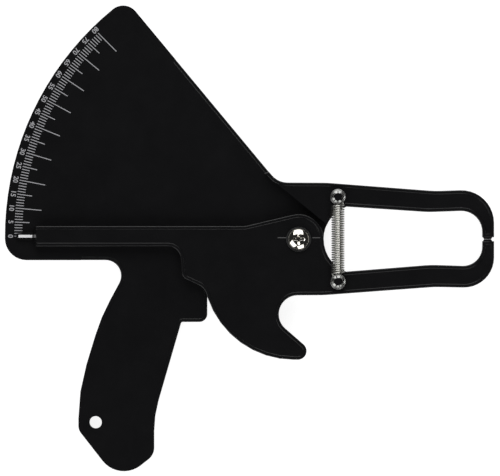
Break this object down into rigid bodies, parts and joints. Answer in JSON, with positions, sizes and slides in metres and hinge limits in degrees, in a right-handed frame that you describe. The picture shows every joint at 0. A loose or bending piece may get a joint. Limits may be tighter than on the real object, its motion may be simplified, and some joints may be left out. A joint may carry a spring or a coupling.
{
  "type": "skinfold caliper",
  "caption": "Flat moulded skinfold caliper with a pistol grip, a dial fan read by the lever's pointer, a trigger, two curved jaws and an extension spring.",
  "frame": {"origin": "under the middle of the outline, on the plane that the caliper's back lies on", "axes": "+X from the dial fan towards the jaws, +Y from the grip towards the fan, +Z out of the dial's face"},
  "size_m": [0.2692, 0.2566, 0.0243],
  "materials": {
    "black_plastic": "glossy moulded black",
    "white_index": "white",
    "chrome": "bright plated",
    "dark_steel": "dark spring steel",
    "spring_steel": "bright drawn wire",
    "zinc_steel": "zinc plated",
    "nylon": "natural nylon"
  },
  "bodies": {
    "frame": {"frame": "black_plastic", "upper_jaw_pad": "black_plastic", "pivot_screw": "chrome", "head_washer": "dark_steel", "pivot_sleeve": "zinc_steel", "thrust_washer": "nylon", "back_washer": "zinc_steel", "lock_nut": "zinc_steel", "nut_insert": "nylon", "upper_push_nut": "dark_steel"},
    "lever": {"lever": "black_plastic", "pointer_index": "white_index", "lower_jaw_pad": "black_plastic", "lower_push_nut": "dark_steel"},
    "spring_upper": {"tension_spring": "spring_steel"},
    "spring_lower": {"spring_lower_hook": "spring_steel"}
  },
  "joints": [
    {"name": "lever_pivot", "type": "hinge", "parent": "frame", "child": "lever", "pos_m": [0.02715, -0.00046, 0.0128], "axis": [0, 0, -1], "range_deg": [0, 46], "stiffness_Nm_per_rad": 0.11, "springref_deg": -148.97},
    {"name": "spring_swing", "type": "hinge", "parent": "frame", "child": "spring_upper", "pos_m": [0.04875, 0.02284, 0.02085], "axis": [0, 0, -1], "range_deg": [0, 23.2]},
    {"name": "spring_stretch", "type": "slide", "parent": "spring_upper", "child": "spring_lower", "axis": [0, -1, 0], "range_m": [0, 0.0134], "deforming": ["tension_spring", "spring_lower_hook"]}
  ],
  "couplings": [
    {"joint": "spring_swing", "follows": "lever_pivot", "ratio": 0.5},
    {"joint": "spring_stretch", "follows": "lever_pivot", "m_per_rad": 0.0164}
  ]
}
